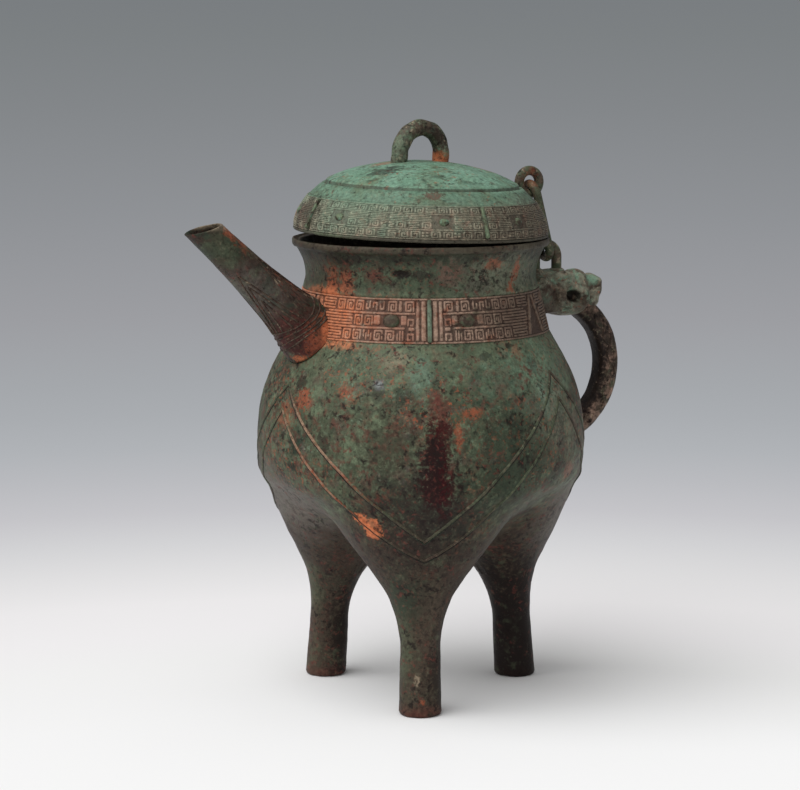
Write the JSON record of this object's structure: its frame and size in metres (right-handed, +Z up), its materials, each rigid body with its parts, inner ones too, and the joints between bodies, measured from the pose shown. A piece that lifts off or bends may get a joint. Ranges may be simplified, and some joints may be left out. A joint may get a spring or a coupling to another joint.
{
  "type": "bronze pouring vessel",
  "caption": "Lidded cast bronze pouring vessel on pouch legs, with a slanted tubular spout, an animal-head strap handle and a domed lid tethered to the handle by a link.",
  "frame": {"origin": "on the pot's axis at the level of the feet", "axes": "+Z up along the pot's axis, +X towards the handle, spout on the -X side"},
  "size_m": [0.2438, 0.162, 0.285],
  "materials": {
    "bronze_pot": "old bronze with green patina, red and brown patches and dark soot below",
    "bronze_leg": "old bronze, dark brown with green specks and rough skin",
    "clay_core": "fired grey-brown clay, unseen",
    "bronze_spout": "old bronze, dark green and brown with reddish root",
    "bronze_handle": "old bronze, brown with green patches and dark red inside",
    "bronze_link": "old bronze, worn brown",
    "bronze_lid": "old bronze, blue-green dome over a brown patterned shoulder",
    "bronze_lid_fittings": "old bronze, green-brown with orange rust at the roots"
  },
  "bodies": {
    "vessel": {"neck": "bronze_pot", "shoulder": "bronze_pot", "pouch_under_handle": "bronze_pot", "pouch_far": "bronze_pot", "pouch_near": "bronze_pot", "leg_under_handle": "bronze_leg", "leg_far": "bronze_leg", "leg_near": "bronze_leg", "core_under_handle": "clay_core", "core_far": "clay_core", "core_near": "clay_core", "spout": "bronze_spout", "handle": "bronze_handle", "handle_eye": "bronze_handle"},
    "link": {"tether_link": "bronze_link"},
    "lid": {"lid": "bronze_lid", "lid_bail": "bronze_lid_fittings", "lid_eye": "bronze_lid_fittings"}
  },
  "joints": [
    {"name": "link_swing", "type": "hinge", "parent": "vessel", "child": "link", "pos_m": [0.073, 0, 0.2132], "axis": [0, 1, 0], "range_deg": [0, 68]},
    {"name": "lid_tip", "type": "hinge", "parent": "link", "child": "lid", "pos_m": [0.06304, 0, 0.25052], "axis": [0, 1, 0], "range_deg": [0, 42.3]}
  ],
  "couplings": [
    {"joint": "lid_tip", "follows": "link_swing", "ratio": 0.6211}
  ]
}
